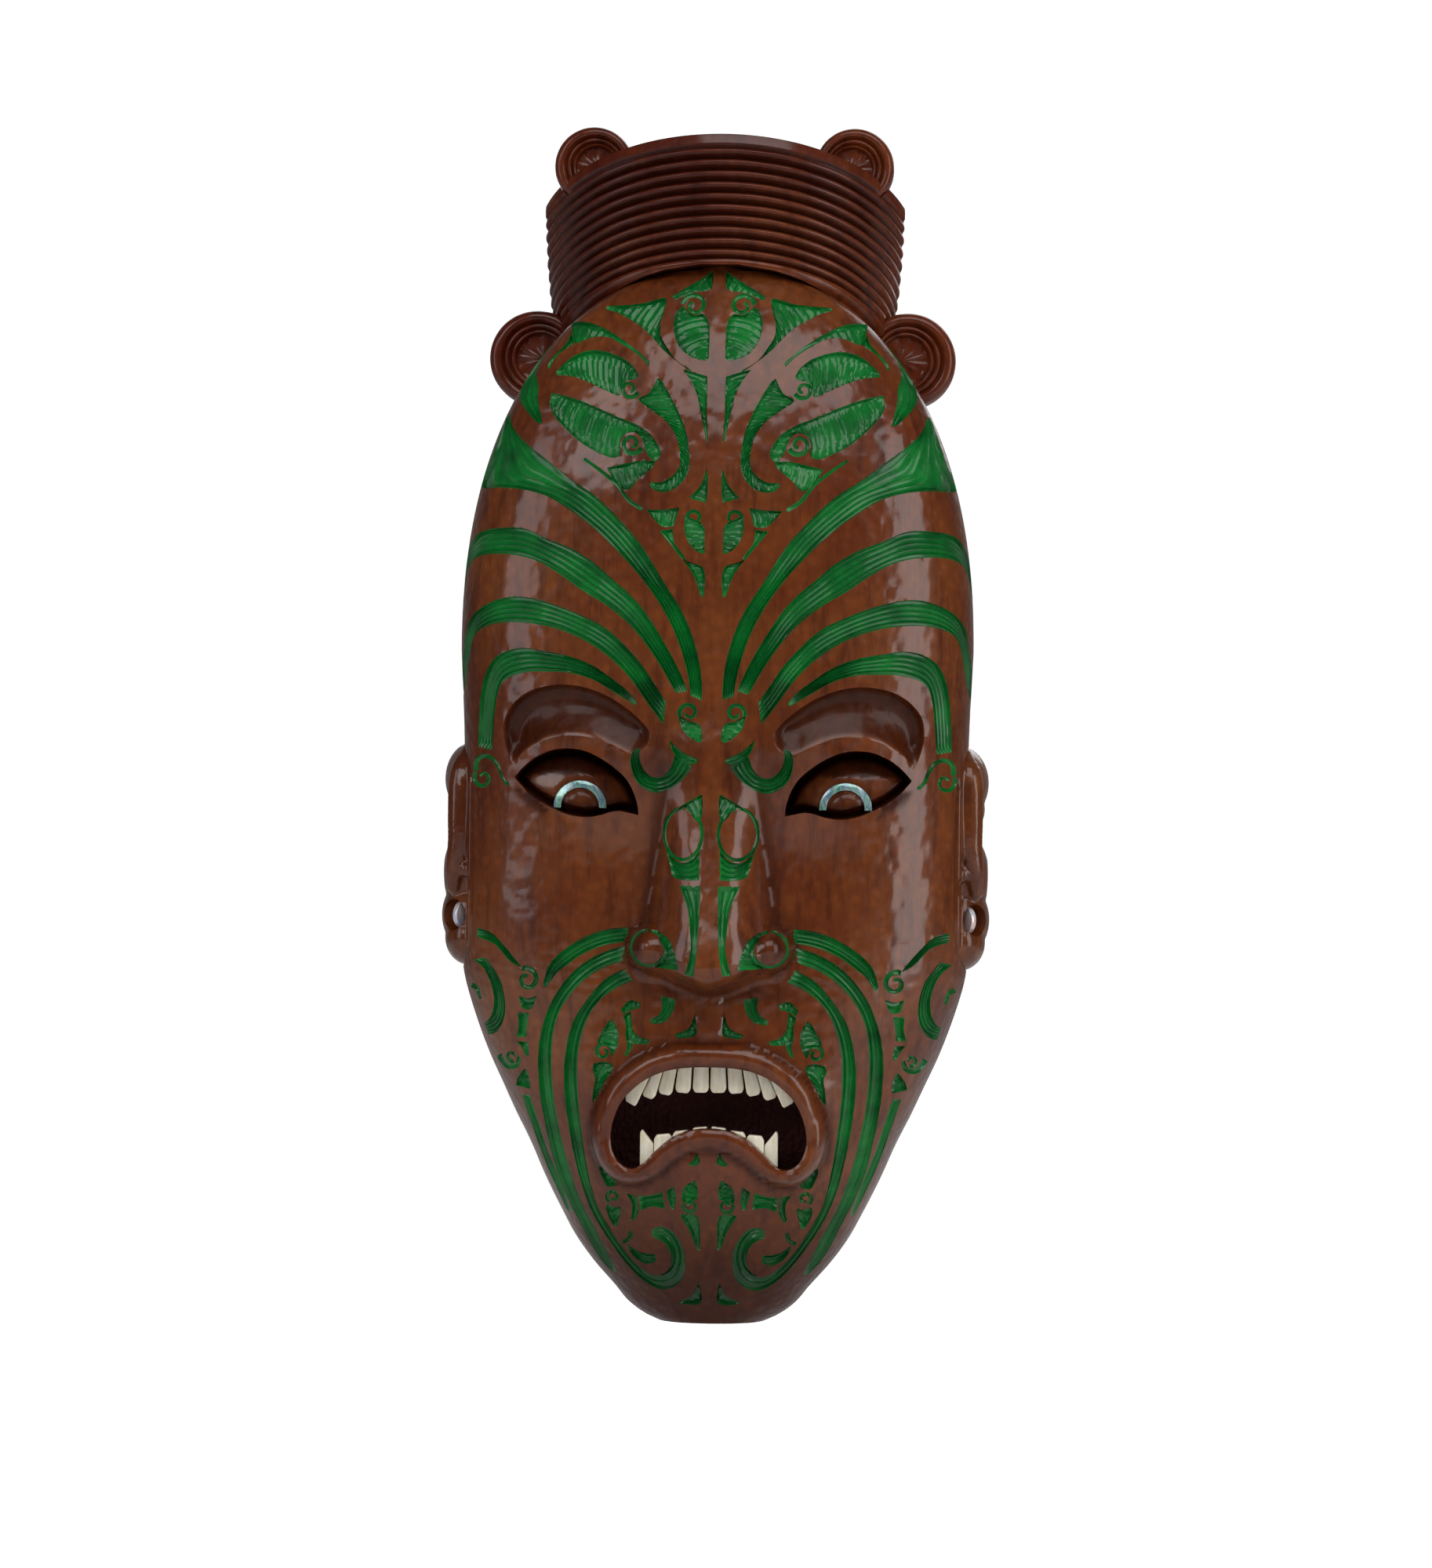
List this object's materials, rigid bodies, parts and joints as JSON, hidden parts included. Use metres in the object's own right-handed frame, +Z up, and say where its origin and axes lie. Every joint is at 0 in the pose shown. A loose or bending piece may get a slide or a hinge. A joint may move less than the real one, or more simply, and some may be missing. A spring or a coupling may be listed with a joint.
{
  "type": "carved wooden mask",
  "caption": "Carved wall mask: a tall hollow-backed wooden face with green carved lines, a ridged crown, scroll lugs, ears, shell eye rings and bone teeth.",
  "frame": {"origin": "middle of the hanger's entry hole, on the back plane that meets the wall", "axes": "+Z up towards the crown, +X towards the viewer's right, the face looks along -Y, the wall is on the +Y side"},
  "size_m": [0.2338, 0.1184, 0.511],
  "materials": {
    "face_wood": "glossy varnish, with the carved lines painted green",
    "backing_wood": "dark matt stain",
    "crown_wood": "dark red-brown varnish",
    "scroll_wood": "dark red-brown varnish",
    "ear_wood": "glossy varnish",
    "green_shell": "polished green shell",
    "grey_shell": "polished grey shell",
    "bone": "smooth bone",
    "dowel_wood": "plain",
    "brass": "aged brass"
  },
  "bodies": {
    "root": {"mask_body": "face_wood", "mouth_backing": "backing_wood", "crown_band": "crown_wood", "top_scroll_left": "scroll_wood", "top_scroll_right": "scroll_wood", "side_scroll_left": "scroll_wood", "side_scroll_right": "scroll_wood", "ear_left": "ear_wood", "ear_right": "ear_wood", "eye_ring_left": "green_shell", "eye_ring_right": "green_shell", "ear_disc_left": "grey_shell", "ear_disc_right": "grey_shell", "upper_tooth_left_1": "bone", "upper_tooth_left_2": "bone", "upper_tooth_left_3": "bone", "upper_tooth_left_4": "bone", "upper_tooth_left_5": "bone", "upper_tooth_right_1": "bone", "upper_tooth_right_2": "bone", "upper_tooth_right_3": "bone", "upper_tooth_right_4": "bone", "upper_tooth_right_5": "bone", "lower_tooth_left_1": "bone", "lower_tooth_left_2": "bone", "lower_tooth_left_3": "bone", "lower_tooth_right_1": "bone", "lower_tooth_right_2": "bone", "lower_tooth_right_3": "bone", "lower_fang_left": "bone", "lower_fang_right": "bone", "ear_dowels": "dowel_wood", "scroll_dowels": "dowel_wood", "crown_dowels": "dowel_wood", "hanger_plate": "brass", "hanger_screws": "brass", "backing_screws": "brass"}
  },
  "joints": []
}
